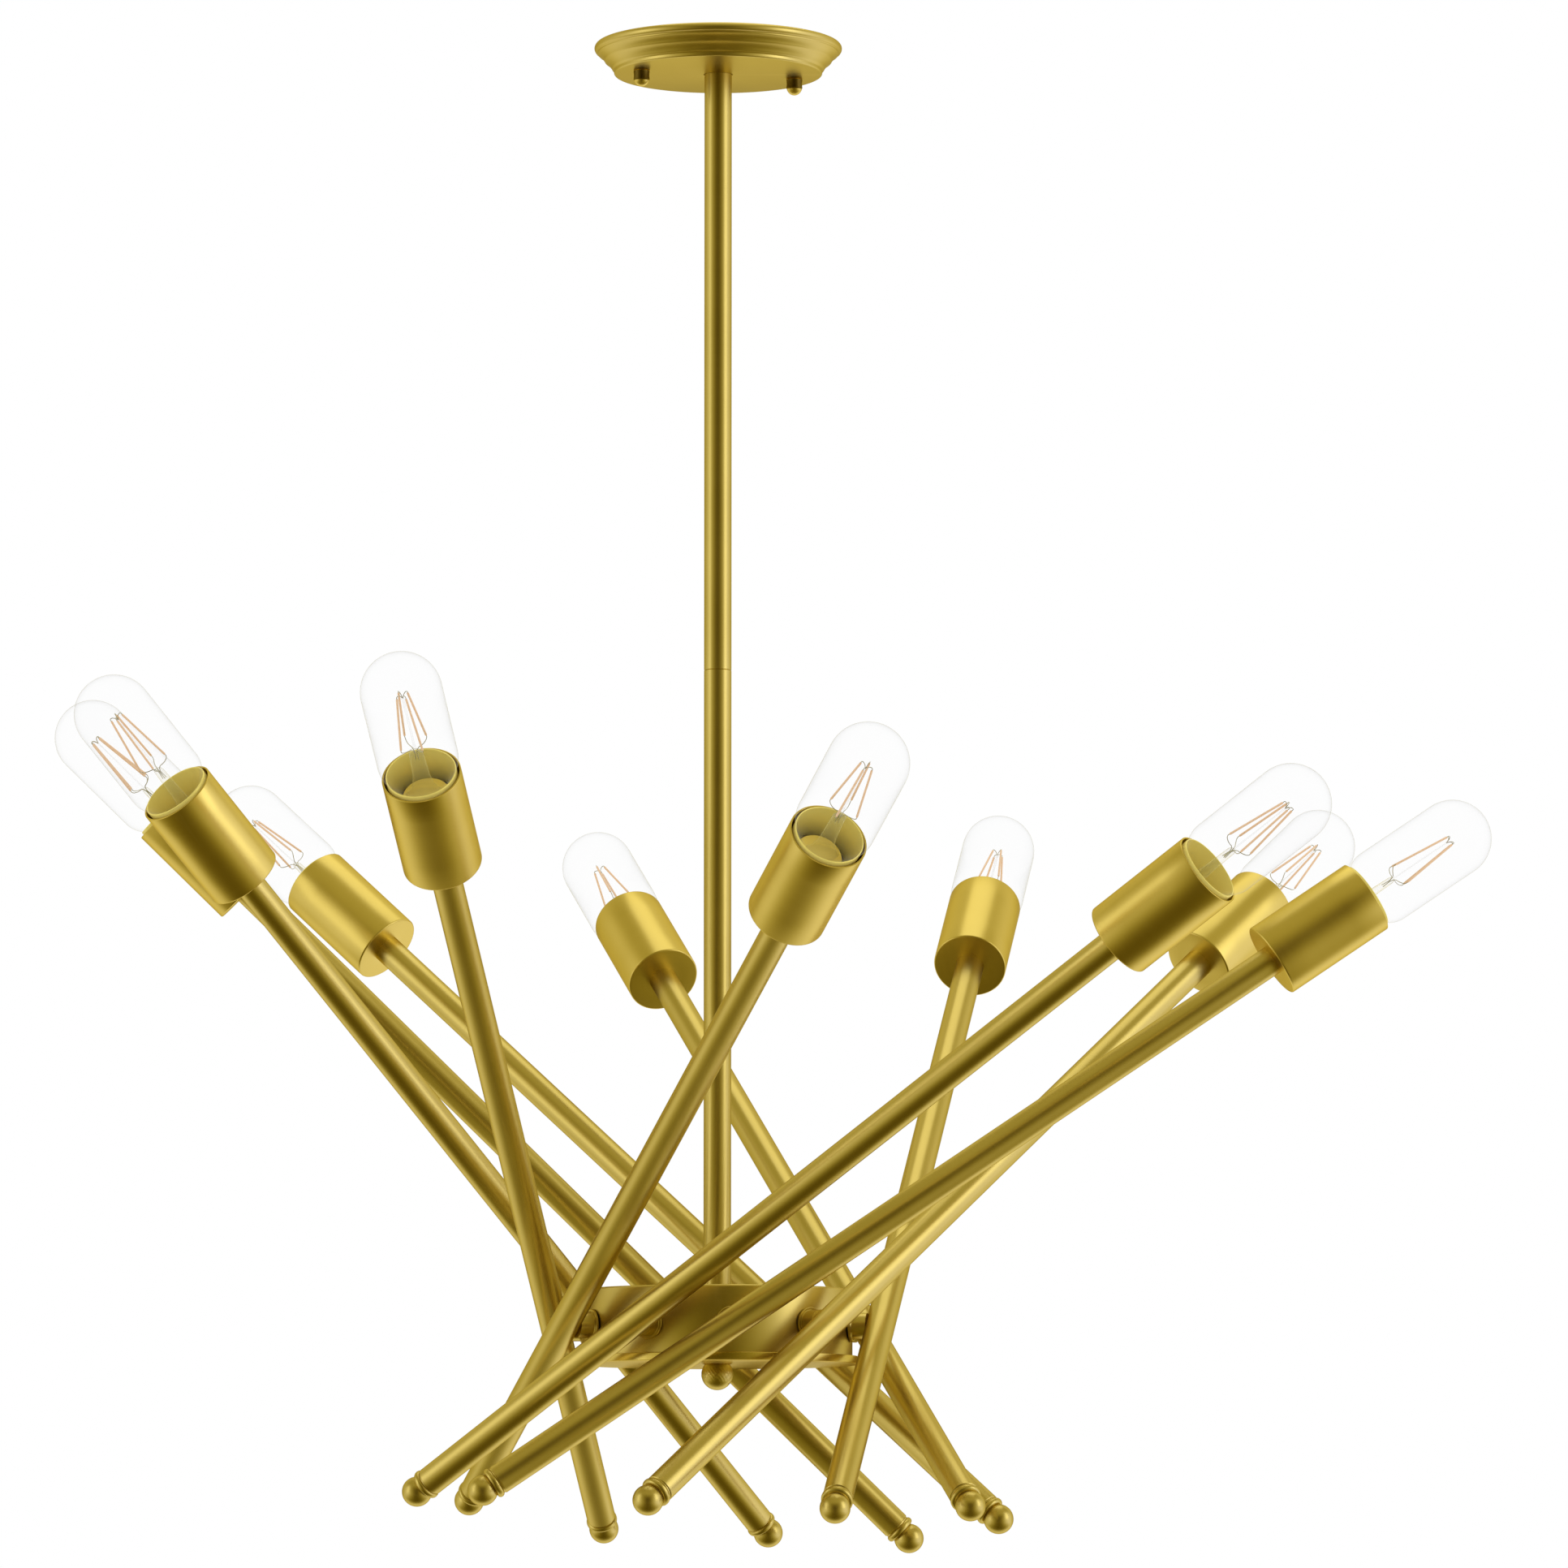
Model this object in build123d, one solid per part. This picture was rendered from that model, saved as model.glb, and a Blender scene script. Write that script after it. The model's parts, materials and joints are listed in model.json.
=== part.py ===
from build123d import *
from math import cos, hypot, radians, sin
import os

# Ten-arm sputnik chandelier. Sizes are millimetres and angles are degrees.
# The origin is the middle of the ceiling face and +Z points up, so the part hangs below it.

# Ceiling hardware
bar_thickness = 2.0
bar_end_margin = 4.5
ceiling_bar_width = 20.0
slot_spacing = 79.0
slot_length = 24.0
slot_width = 5.0
swivel_bar_width = 16.0
swivel_bar_angle = 17.4
swivel_bar_end_margin = 7.0
canopy_screw_spacing = 94.0
canopy_screw_radius = 2.0
canopy_hole_clearance = 0.3

# Threaded pipe that carries the load, with its lock nuts
pipe_radius = 5.0
pipe_bore_radius = 3.2
thread_clearance = 0.05
pipe_grip = 12.0
pipe_top_recess = 0.5
wire_hole_radius = 2.4
nut_across_flats = 14.0
nut_thickness = 5.0

# Canopy: a straight band, two flutes and a flat disc
canopy_radius = 72.7
canopy_band = 5.3
canopy_step = 0.8
canopy_flare_foot = 15.9
canopy_flute_depth = 0.5
canopy_disc_radius = 61.2
canopy_depth = 18.0
canopy_edge = 0.9
canopy_sheet = 1.0
canopy_stem_gap = 0.6

# Cap nuts that hold the canopy up
cap_nut_radius = 5.1
cap_nut_height = 5.8
cap_nut_dome_radius = 5.0
cap_nut_dome_height = 3.8
cap_nut_bore_depth = 6.0
cap_nut_end_gap = 0.5

# Stem
stem_radius = 8.0
stem_wall = 1.2
stem_section_length = 361.0
stem_insert_length = 14.0

# Hub
hub_radius = 78.3
hub_height = 43.2
hub_sheet = 1.5
hub_edge = 1.2
cover_lip_wall = 3.5
cover_lip_height = 4.6
cover_clearance = 0.3
finial_radius = 9.2
finial_drop = 5.6
finial_collar_radius = 7.2
finial_collar_height = 1.2
finial_bore_depth = 7.0
finial_end_gap = 0.5

# Arms, numbered counter-clockwise seen from above, each leaning along the hub's tangent
arm_count = 10
first_arm_azimuth = -83.9
arm_tilts = [56.1, 53.5, 51.7, 52.7, 50.3, 45.9, 47.7, 48.7, 55.3, 56.6]
arm_radius = 8.5
arm_wall = 1.0
arm_reach_down = 162.4
arm_reach_up = 372.8
arm_insert_length = 12.0

# Ball end that closes the lower end of an arm
ball_radius = 8.7
ball_offset = 10.4
bead_radius = 9.1
bead_length = 4.0
bead_seat_radius = 8.0
bead_seat_length = 0.8
neck_radius = 5.9
plug_length = 9.0

# Swivel stud that carries an arm on the hub
swivel_shank_radius = 4.95
swivel_running_clearance = 0.07
swivel_bore_radius = 3.0
swivel_boss_radius = 7.6
swivel_boss_length = 9.0
swivel_flange_radius = 9.2
swivel_flange_thickness = 1.6
swivel_face_gap = 0.3
swivel_nut_gap = 0.9
swivel_tail = 2.0

# Socket cup with the bright sleeve that stands inside it
cup_radius = 22.1
cup_length = 66.8
cup_wall = 1.0
cup_floor = 1.5
cup_edge = 1.0
sleeve_gap = 1.0
sleeve_wall = 0.8
sleeve_floor = 1.0
sleeve_rise = 1.8

# Lampholder
holder_radius = 16.0
holder_top_drop = 18.0
holder_well_depth = 24.0
holder_spigot_length = 9.0
holder_wire_radius = 2.5
shell_bore_radius = 13.45
shell_wall = 0.6
shell_rim_drop = 1.5
contact_radius = 3.5
contact_height = 1.2

# Bulb, screwed into the lampholder
bulb_foot_gap = 0.3
cap_radius = 13.1
cap_length = 26.4
cap_tip_radius = 4.5
cap_tip_height = 1.4
cap_cone_height = 3.2
cap_insulator_radius = 9.0
bulb_radius = 22.5
bulb_glass_wall = 0.9
bulb_neck_radius = 12.8
bulb_neck_length = 3.0
bulb_shoulder_length = 23.0
bulb_length = 124.4
mount_radius = 3.6
mount_height = 33.0
mount_wire_length = 5.0
filament_radius = 0.7
support_radius = 0.4
filament_length = 35.0
filament_foot_circle = 8.6
filament_head_circle = 3.6
filament_count = 4

# Heights worked out from the sizes above
ceiling_bar_bottom = -bar_thickness
swivel_bar_bottom = ceiling_bar_bottom - bar_thickness
stem_top = swivel_bar_bottom - nut_thickness
stem_joint = stem_top - stem_section_length
hub_top = stem_joint - stem_section_length
hub_bottom = hub_top - hub_height
cover_top = hub_bottom + hub_sheet
pivot_height = hub_top - hub_height / 2
finial_centre = hub_bottom - finial_drop
finial_bore_end = hub_bottom - finial_bore_depth
collar_bottom = hub_bottom - finial_collar_height
cap_nut_foot = -canopy_depth - cap_nut_height
cap_nut_bore_end = -canopy_depth - cap_nut_bore_depth

# Radii worked out from the sizes above
pipe_hole_radius = pipe_radius + thread_clearance
screw_hole_radius = canopy_screw_radius + thread_clearance
hub_bore_radius = hub_radius - hub_sheet
swivel_hole_radius = swivel_shank_radius + swivel_running_clearance
cover_lip_bore = hub_radius + cover_clearance
sleeve_radius = cup_radius - cup_wall - sleeve_gap

# Stations towards the hub, measured from an arm's axis along its swivel stud
stud_face = arm_radius + swivel_boss_length
arm_circle_radius = hub_radius + swivel_face_gap + stud_face
nut_face = stud_face + swivel_face_gap + hub_sheet + swivel_nut_gap
stud_end = nut_face + nut_thickness + swivel_tail

# Stations along an arm, measured from its pivot towards the socket
cup_bottom = arm_reach_up
cup_floor_top = cup_bottom + cup_floor
sleeve_floor_top = cup_floor_top + sleeve_floor
cup_rim = cup_bottom + cup_length
holder_top = cup_rim - holder_top_drop
well_floor = holder_top - holder_well_depth
contact_top = well_floor + contact_height
bulb_foot = contact_top + bulb_foot_gap
cap_top = bulb_foot + cap_length
neck_top = cap_top + bulb_neck_length
shoulder_top = neck_top + bulb_shoulder_length
bulb_tip = bulb_foot + bulb_length
bulb_dome_centre = bulb_tip - bulb_radius
mount_top = cap_top + mount_height
filament_foot = mount_top + mount_wire_length
filament_head = filament_foot + filament_length


# A closed outline of (radius, height) points, turned about Z
def turned(points):
    return revolve(Plane.XZ * make_face(Polyline(*points, close=True)), Axis.Z)


# A round bar from one height to another
def rod(radius, low, high):
    return Pos(0, 0, low) * Cylinder(radius, high - low, align=(Align.CENTER, Align.CENTER, Align.MIN))


def tube(radius, bore, low, high):
    return rod(radius, low, high) - rod(bore, low, high)


# A thin straight bar between two points
def strut(radius, start, end):
    way = Vector(*end) - Vector(*start)
    bar = Cylinder(radius, way.length, align=(Align.CENTER, Align.CENTER, Align.MIN))
    return Plane(origin=start, z_dir=way) * bar


def hex_nut(bore, low):
    blank = extrude(RegularPolygon(nut_across_flats / 2, 6, major_radius=False), nut_thickness)
    return Pos(0, 0, low) * (blank - rod(bore, 0, nut_thickness))


def flat_bar(length, width, top):
    blank = Box(length, width, bar_thickness, align=(Align.CENTER, Align.CENTER, Align.MAX))
    return Pos(0, 0, top) * (blank - Cylinder(pipe_hole_radius, 4 * bar_thickness))


# Slotted bar screwed to the ceiling box
def make_ceiling_bar():
    bar = flat_bar(slot_spacing + slot_length + 2 * bar_end_margin, ceiling_bar_width, 0)
    slot = extrude(SlotOverall(slot_length, slot_width), 2 * bar_thickness, both=True)
    for side in (-1, 1):
        bar -= Pos(side * slot_spacing / 2, 0, 0) * slot
    return bar


# Middles of the two canopy screws
def canopy_screw_spots():
    reach = canopy_screw_spacing / 2
    turn = radians(swivel_bar_angle)
    return [Pos(side * reach * cos(turn), side * reach * sin(turn), 0) for side in (-1, 1)]


# Lower bar, turned to line up the canopy screws
def make_swivel_bar():
    blank = flat_bar(canopy_screw_spacing + 2 * swivel_bar_end_margin, swivel_bar_width, ceiling_bar_bottom)
    bar = Rot(0, 0, swivel_bar_angle) * blank
    for spot in canopy_screw_spots():
        bar -= spot * rod(screw_hole_radius, swivel_bar_bottom, ceiling_bar_bottom)
    return bar


# The canopy's face turned about Z, moved in and up by the sheet for the inside
def canopy_solid(inset):
    wall = canopy_radius - inset
    disc_wall = canopy_disc_radius - inset
    disc_height = inset - canopy_depth
    band_foot = (wall, inset - canopy_band)
    flare_top = (wall - canopy_step, inset - canopy_band)
    flare_foot = (disc_wall, inset - canopy_flare_foot)
    flare_middle = ((flare_top[0] + flare_foot[0]) / 2, (flare_top[1] + flare_foot[1]) / 2)
    outline = Polyline((0, disc_height), (0, 0), (wall, 0), band_foot, flare_top)
    outline += SagittaArc(flare_top, flare_middle, -canopy_flute_depth)
    outline += SagittaArc(flare_middle, flare_foot, -canopy_flute_depth)
    edge_top = (disc_wall, disc_height + canopy_edge)
    outline += Polyline(flare_foot, edge_top, (disc_wall - canopy_edge, disc_height), (0, disc_height))
    return revolve(Plane.XZ * make_face(outline), Axis.Z)


def make_canopy():
    canopy = canopy_solid(0) - canopy_solid(canopy_sheet)
    canopy -= rod(stem_radius + canopy_stem_gap, -2 * canopy_depth, 0)
    for spot in canopy_screw_spots():
        canopy -= spot * rod(canopy_screw_radius + canopy_hole_clearance, -2 * canopy_depth, 0)
    return canopy


# Screws that hang from the swivel bar and the cap nuts that hold the canopy up on them
def make_canopy_fasteners():
    screw = rod(canopy_screw_radius, cap_nut_bore_end + cap_nut_end_gap, ceiling_bar_bottom)
    dome = Pos(0, 0, cap_nut_foot + cap_nut_dome_radius - cap_nut_dome_height) * Sphere(cap_nut_dome_radius)
    nut = dome - rod(2 * cap_nut_dome_radius, cap_nut_foot, 0)
    nut += rod(cap_nut_radius, cap_nut_foot, -canopy_depth)
    nut -= rod(screw_hole_radius, cap_nut_bore_end, -canopy_depth)
    return [spot * piece for spot in canopy_screw_spots() for piece in (screw, nut)]


# One stem section, with a threaded insert at each end
def make_stem(top):
    low = top - stem_section_length
    section = tube(stem_radius, pipe_hole_radius, low, top)
    return section - rod(stem_radius - stem_wall, low + stem_insert_length, top - stem_insert_length)


# The pipes at the ceiling, between the stem sections and through the hub, and the lock nuts
def make_pipes():
    ceiling_pipe = tube(pipe_radius, pipe_bore_radius, stem_top - pipe_grip, -pipe_top_recess)
    joint_pipe = tube(pipe_radius, pipe_bore_radius, stem_joint - pipe_grip, stem_joint + pipe_grip)
    hub_pipe = tube(pipe_radius, pipe_bore_radius, finial_bore_end + finial_end_gap, hub_top + pipe_grip)
    hub_pipe -= Pos(0, 0, pivot_height) * Rot(90, 0, 0) * Cylinder(wire_hole_radius, 4 * pipe_radius)
    nuts = [hex_nut(pipe_hole_radius, low) for low in (stem_top, hub_top - hub_sheet - nut_thickness, cover_top)]
    return [ceiling_pipe, joint_pipe, hub_pipe] + nuts


def arm_azimuth(number):
    return first_arm_azimuth + 360 / arm_count * number


# Drum of the hub, open below, with a hole in its side for each swivel stud
def make_hub_shell():
    drum = rod(hub_radius, cover_top, hub_top)
    drum = fillet(drum.edges().sort_by(Axis.Z)[-1], hub_edge)
    drum -= rod(hub_bore_radius, cover_top, hub_top - hub_sheet)
    drum -= rod(pipe_hole_radius, cover_top, hub_top)
    drill = Pos(hub_radius, 0, pivot_height) * Rot(0, 90, 0) * Cylinder(swivel_hole_radius, 6 * hub_sheet)
    for number in range(arm_count):
        drum -= Rot(0, 0, arm_azimuth(number)) * drill
    return drum


# Cover with the turned-up lip that the drum sits in
def make_hub_cover():
    cover = rod(cover_lip_bore + cover_lip_wall, hub_bottom, hub_bottom + cover_lip_height)
    cover -= rod(cover_lip_bore, cover_top, hub_bottom + cover_lip_height)
    return cover - rod(pipe_hole_radius, hub_bottom, cover_top)


# Ball finial that screws on the hub's pipe and holds the cover up
def make_hub_finial():
    ball = Pos(0, 0, finial_centre) * Sphere(finial_radius)
    ball -= rod(2 * finial_radius, collar_bottom, hub_bottom + finial_radius)
    ball += rod(finial_collar_radius, collar_bottom, hub_bottom)
    return ball - rod(pipe_hole_radius, finial_bore_end, hub_bottom)


# The arm's pieces are drawn with the arm along Z, the pivot at the origin and the hub towards -X
def make_arm_tube():
    bore = arm_radius - arm_wall
    body = rod(arm_radius, -arm_reach_down, cup_bottom)
    body -= rod(bore, -arm_reach_down, cup_bottom - arm_insert_length)
    body -= rod(pipe_hole_radius, -arm_reach_down, cup_bottom)
    side_hole = Cylinder(swivel_bore_radius, arm_radius, align=(Align.CENTER, Align.CENTER, Align.MIN))
    return body - Rot(0, -90, 0) * side_hole


def make_ball_end():
    tube_end = -arm_reach_down
    bead_top = tube_end - bead_seat_length
    ball_centre = tube_end - ball_offset
    bead = rod(bead_radius, bead_top - bead_length, bead_top)
    bead = fillet(bead.edges().filter_by(GeomType.CIRCLE), 0.45 * bead_length)
    piece = bead + Pos(0, 0, ball_centre) * Sphere(ball_radius)
    piece += rod(neck_radius, ball_centre, bead_top)
    piece += rod(bead_seat_radius, bead_top - 0.5 * bead_length, tube_end)
    return piece + rod(arm_radius - arm_wall - thread_clearance, tube_end, tube_end + plug_length)


# Turned stud: boss soldered to the arm, flange against the hub, shank through the hub's wall
def make_swivel_stud():
    stud = rod(swivel_boss_radius, 0, stud_face)
    stud += rod(swivel_flange_radius, stud_face - swivel_flange_thickness, stud_face)
    stud += rod(swivel_shank_radius, stud_face, stud_end)
    stud -= rod(swivel_bore_radius, 0, stud_end)
    return Rot(0, -90, 0) * stud - rod(arm_radius, -2 * swivel_boss_radius, 2 * swivel_boss_radius)


def make_swivel_nut():
    return Rot(0, -90, 0) * hex_nut(swivel_shank_radius + thread_clearance, nut_face)


# A thin can with a floor and a hole in it for the lampholder's spigot
def make_can(radius, wall, low, floor_top, rim, edge):
    can = rod(radius, low, rim)
    if edge > 0:
        can = fillet(can.edges().sort_by(Axis.Z)[0], edge)
    can -= rod(radius - wall, floor_top, rim)
    return can - rod(pipe_hole_radius, low, floor_top)


def make_cup():
    cup = make_can(cup_radius, cup_wall, cup_bottom, cup_floor_top, cup_rim, cup_edge)
    sleeve = make_can(sleeve_radius, sleeve_wall, cup_floor_top, sleeve_floor_top, cup_rim + sleeve_rise, 0)
    return [cup, sleeve]


# Insulating body with a threaded spigot, the screw shell in its well and the centre contact
def make_lampholder():
    spigot_end = cup_bottom - holder_spigot_length
    body = rod(holder_radius, sleeve_floor_top, holder_top)
    body += rod(pipe_radius, spigot_end, sleeve_floor_top)
    body -= rod(shell_bore_radius + shell_wall, well_floor, holder_top)
    body -= rod(holder_wire_radius, spigot_end, well_floor)
    shell = tube(shell_bore_radius + shell_wall, shell_bore_radius, well_floor, holder_top - shell_rim_drop)
    contact = rod(contact_radius, well_floor, contact_top)
    return [body, shell, contact]


# Outside of the bulb's glass, moved in by the wall for the inside: neck, shoulder, straight wall and dome
def glass_solid(inset):
    neck = bulb_neck_radius - inset
    wall = bulb_radius - inset
    tip = bulb_dome_centre + wall
    flare = bulb_radius - bulb_neck_radius
    bend = hypot(flare, bulb_shoulder_length) ** 2 / (4 * flare)
    hollow_centre = Vector(bulb_neck_radius + bend, neck_top)
    round_centre = Vector(bulb_radius - bend, shoulder_top)
    way = (round_centre - hollow_centre).normalized()
    turn = hollow_centre + way * (bend + inset)
    outline = Polyline((0, tip), (0, cap_top), (neck, cap_top), (neck, neck_top))
    outline += TangentArc((neck, neck_top), turn, tangent=(0, 1))
    outline += TangentArc((wall, shoulder_top), turn, tangent=(0, -1))
    outline += Line((wall, shoulder_top), (wall, bulb_dome_centre))
    outline += TangentArc((wall, bulb_dome_centre), (0, tip), tangent=(0, 1))
    return revolve(Plane.XZ * make_face(outline), Axis.Z)


def make_bulb_glass():
    return glass_solid(0) - glass_solid(bulb_glass_wall)


# Screw cap with its insulator and tip contact
def make_bulb_cap():
    cone_foot = bulb_foot + cap_tip_height
    shell_foot = cone_foot + cap_cone_height
    return turned([
        (0, bulb_foot),
        (cap_tip_radius, bulb_foot),
        (cap_tip_radius, cone_foot),
        (cap_insulator_radius, cone_foot),
        (cap_radius, shell_foot),
        (cap_radius, cap_top),
        (0, cap_top),
    ])


# Glass mount with a centre rod, and the filaments splayed out between the support wires
def make_filament_mount():
    mount = rod(mount_radius, cap_top, mount_top)
    mount += rod(support_radius, mount_top - mount_radius, filament_head)
    for number in range(filament_count):
        turn = radians(45 + 360 / filament_count * number)
        foot = (filament_foot_circle * cos(turn), filament_foot_circle * sin(turn), filament_foot)
        head = (filament_head_circle * cos(turn), filament_head_circle * sin(turn), filament_head)
        mount += strut(filament_radius, foot, head)
        mount += strut(support_radius, (0, 0, mount_top - mount_radius / 2), foot)
        mount += strut(support_radius, (0, 0, filament_head - filament_head_circle / 2), head)
    return mount


def place_arm(number):
    swing = Pos(arm_circle_radius, 0, pivot_height) * Rot(-arm_tilts[number], 0, 0)
    return Rot(0, 0, arm_azimuth(number)) * swing


def save(pieces, name):
    solids = [solid for piece in pieces for solid in piece.solids()]
    export_step(Compound(children=solids) if len(solids) > 1 else solids[0], f"parts/{name}.step")


os.makedirs("parts", exist_ok=True)

save([make_ceiling_bar()], "ceiling_bar")
save([make_swivel_bar()], "swivel_bar")
save([make_canopy()], "canopy")
save(make_canopy_fasteners(), "canopy_fasteners")
save([make_stem(stem_top)], "stem_upper")
save([make_stem(stem_joint)], "stem_lower")
save(make_pipes(), "threaded_pipes")
save([make_hub_shell()], "hub_shell")
save([make_hub_cover()], "hub_cover")
save([make_hub_finial()], "hub_finial")

arm_set = {
    "arm": [make_arm_tube(), make_ball_end(), make_swivel_stud(), make_swivel_nut()],
    "socket_cup": make_cup(),
    "lampholder": make_lampholder(),
    "bulb_glass": [make_bulb_glass()],
    "bulb_cap": [make_bulb_cap(), make_filament_mount()],
}
for number in range(arm_count):
    for name, pieces in arm_set.items():
        save([place_arm(number) * piece for piece in pieces], f"{name}_{number + 1:02d}")
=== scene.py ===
import bpy
import json
from math import asin, cos, degrees, hypot, pi, radians, sin
from mathutils import Matrix, Vector

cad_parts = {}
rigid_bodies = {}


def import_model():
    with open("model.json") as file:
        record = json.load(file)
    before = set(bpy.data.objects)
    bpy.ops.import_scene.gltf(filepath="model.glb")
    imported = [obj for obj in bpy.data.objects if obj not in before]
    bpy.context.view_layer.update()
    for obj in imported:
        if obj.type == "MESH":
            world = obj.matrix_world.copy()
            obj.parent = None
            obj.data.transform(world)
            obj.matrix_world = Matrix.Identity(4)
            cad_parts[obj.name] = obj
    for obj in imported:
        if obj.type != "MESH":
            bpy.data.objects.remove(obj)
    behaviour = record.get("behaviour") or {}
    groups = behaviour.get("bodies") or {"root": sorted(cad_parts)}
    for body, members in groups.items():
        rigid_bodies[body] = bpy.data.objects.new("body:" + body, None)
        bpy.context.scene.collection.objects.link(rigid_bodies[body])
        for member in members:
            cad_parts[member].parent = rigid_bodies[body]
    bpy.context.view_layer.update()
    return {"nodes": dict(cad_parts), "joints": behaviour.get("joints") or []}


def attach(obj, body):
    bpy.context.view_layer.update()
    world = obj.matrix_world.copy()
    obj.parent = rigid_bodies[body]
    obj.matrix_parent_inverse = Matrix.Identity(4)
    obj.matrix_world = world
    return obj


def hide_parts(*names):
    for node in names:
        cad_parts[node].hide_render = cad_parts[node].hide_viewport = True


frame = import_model()
mm = 0.001
print("frame loaded:", len(frame["nodes"]), "nodes")


# helpers for picking, turning and finishing pieces

def dropSelection():
    if bpy.context.object and bpy.context.object.mode != "OBJECT":
        bpy.ops.object.mode_set(mode="OBJECT")
    bpy.ops.object.select_all(action="DESELECT")


def pickOnly(piece):
    dropSelection()
    piece.select_set(True)
    bpy.context.view_layer.objects.active = piece


def arc(centreR, centreZ, radius, startDeg, endDeg, steps):
    turns = [radians(startDeg + (endDeg - startDeg) * k / steps) for k in range(steps + 1)]
    return [(centreR + radius * cos(t), centreZ + radius * sin(t)) for t in turns]


def nextRing(oldR, oldZ, newR, newZ):
    # the picked loop is extruded along the axis and scaled to its new radius
    bpy.ops.mesh.extrude_region_move(TRANSFORM_OT_translate={"value": (0, 0, (newZ - oldZ) * mm)})
    if abs(newR - oldR) > 1e-6:
        k = newR / oldR
        bpy.ops.transform.resize(value=(k, k, 1), center_override=(0, 0, newZ * mm))


def closePole(oldZ, newZ):
    bpy.ops.mesh.extrude_region_move(TRANSFORM_OT_translate={"value": (0, 0, (newZ - oldZ) * mm)})
    bpy.ops.mesh.merge(type="CENTER")


def turned(name, rings, sides, smoothDeg=35):
    # rings are (radius, height) in millimetres; a ring of no radius at either end is a pole
    startPole = rings[0][0] == 0
    endPole = rings[-1][0] == 0
    body = rings[int(startPole):len(rings) - int(endPole)]
    dropSelection()
    bpy.ops.mesh.primitive_circle_add(vertices=sides, radius=body[0][0] * mm,
                                      location=(0, 0, body[0][1] * mm))
    piece = bpy.context.object
    piece.name = piece.data.name = name
    bpy.ops.object.transform_apply(location=True, rotation=True, scale=True)
    bpy.ops.object.mode_set(mode="EDIT")
    bpy.ops.mesh.select_mode(type="EDGE")
    bpy.ops.mesh.select_all(action="SELECT")
    for (oldR, oldZ), (newR, newZ) in zip(body, body[1:]):
        nextRing(oldR, oldZ, newR, newZ)
    if endPole:
        closePole(body[-1][1], rings[-1][1])
    bpy.ops.mesh.select_all(action="DESELECT")
    bpy.ops.mesh.select_mode(type="EDGE")
    bpy.ops.mesh.select_non_manifold()
    if startPole and endPole:
        closePole(body[0][1], rings[0][1])
    elif not startPole and not endPole:
        bpy.ops.mesh.bridge_edge_loops()
    finishMesh(piece, smoothDeg)
    return piece


def finishMesh(piece, smoothDeg=35):
    pickOnly(piece)
    bpy.ops.object.mode_set(mode="EDIT")
    bpy.ops.mesh.select_all(action="SELECT")
    bpy.ops.mesh.remove_doubles(threshold=0.000002)
    bpy.ops.mesh.normals_make_consistent(inside=False)
    bpy.ops.object.mode_set(mode="OBJECT")
    bpy.ops.object.shade_smooth_by_angle(angle=radians(smoothDeg))


def roundEdges(piece, widthMm, segments=2, angleDeg=30):
    pickOnly(piece)
    rounder = piece.modifiers.new("edgeRound", "BEVEL")
    rounder.width = widthMm * mm
    rounder.segments = segments
    rounder.limit_method = "ANGLE"
    rounder.angle_limit = radians(angleDeg)
    bpy.ops.object.modifier_apply(modifier="edgeRound")
    finishMesh(piece)


def joined(name, pieces):
    dropSelection()
    for piece in pieces:
        piece.select_set(True)
    bpy.context.view_layer.objects.active = pieces[0]
    if len(pieces) > 1:
        bpy.ops.object.join()
    whole = bpy.context.object
    whole.name = whole.data.name = name
    return whole


def moved(piece, matrix):
    pickOnly(piece)
    piece.matrix_world = matrix @ piece.matrix_world
    bpy.ops.object.transform_apply(location=True, rotation=True, scale=True)
    return piece


def wire(name, points, radiusMm, sides=8):
    # a bent wire, drawn as a smooth curve through the points and turned into a mesh
    dropSelection()
    line = bpy.data.curves.new(name, "CURVE")
    line.dimensions = "3D"
    line.bevel_depth = radiusMm * mm
    line.bevel_resolution = max(0, sides // 4)
    line.use_fill_caps = True
    line.resolution_u = 3
    spline = line.splines.new("BEZIER")
    spline.bezier_points.add(len(points) - 1)
    for spot, co in zip(spline.bezier_points, points):
        spot.co = Vector(co) * mm
        spot.handle_left_type = spot.handle_right_type = "AUTO"
    piece = bpy.data.objects.new(name, line)
    bpy.context.scene.collection.objects.link(piece)
    pickOnly(piece)
    bpy.ops.object.convert(target="MESH")
    piece = bpy.context.object
    finishMesh(piece, 60)
    return piece


def rememberPlace(piece):
    # the metal's grain follows the piece's own axis, so each point keeps where it was on the bench
    spots = piece.data.attributes.new("benchPlace", "FLOAT_VECTOR", "POINT")
    for vertex, spot in zip(piece.data.vertices, spots.data):
        spot.vector = vertex.co


def dress(piece, material):
    piece.data.materials.clear()
    piece.data.materials.append(material)


def relook(node, material):
    for k in range(len(node.material_slots)):
        node.material_slots[k].material = material


# materials

def newMaterial(name):
    material = bpy.data.materials.new(name)
    material.use_nodes = True
    tree = material.node_tree
    tree.nodes.clear()
    out = tree.nodes.new("ShaderNodeOutputMaterial")
    shader = tree.nodes.new("ShaderNodeBsdfPrincipled")
    tree.links.new(shader.outputs["BSDF"], out.inputs["Surface"])
    return material, tree, shader


def addNode(tree, kind, inputs=None, **settings):
    node = tree.nodes.new(kind)
    for key, value in settings.items():
        setattr(node, key, value)
    for key, value in (inputs or {}).items():
        if isinstance(value, bpy.types.NodeSocket):
            tree.links.new(value, node.inputs[key])
        else:
            node.inputs[key].default_value = value
    return node


def sums(tree, operation, first, second=0.0):
    return addNode(tree, "ShaderNodeMath", {0: first, 1: second}, operation=operation).outputs[0]


def stretched(tree, value, low, high, outLow, outHigh):
    return addNode(tree, "ShaderNodeMapRange", {"Value": value, "From Min": low, "From Max": high,
                                                "To Min": outLow, "To Max": outHigh}).outputs["Result"]


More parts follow.
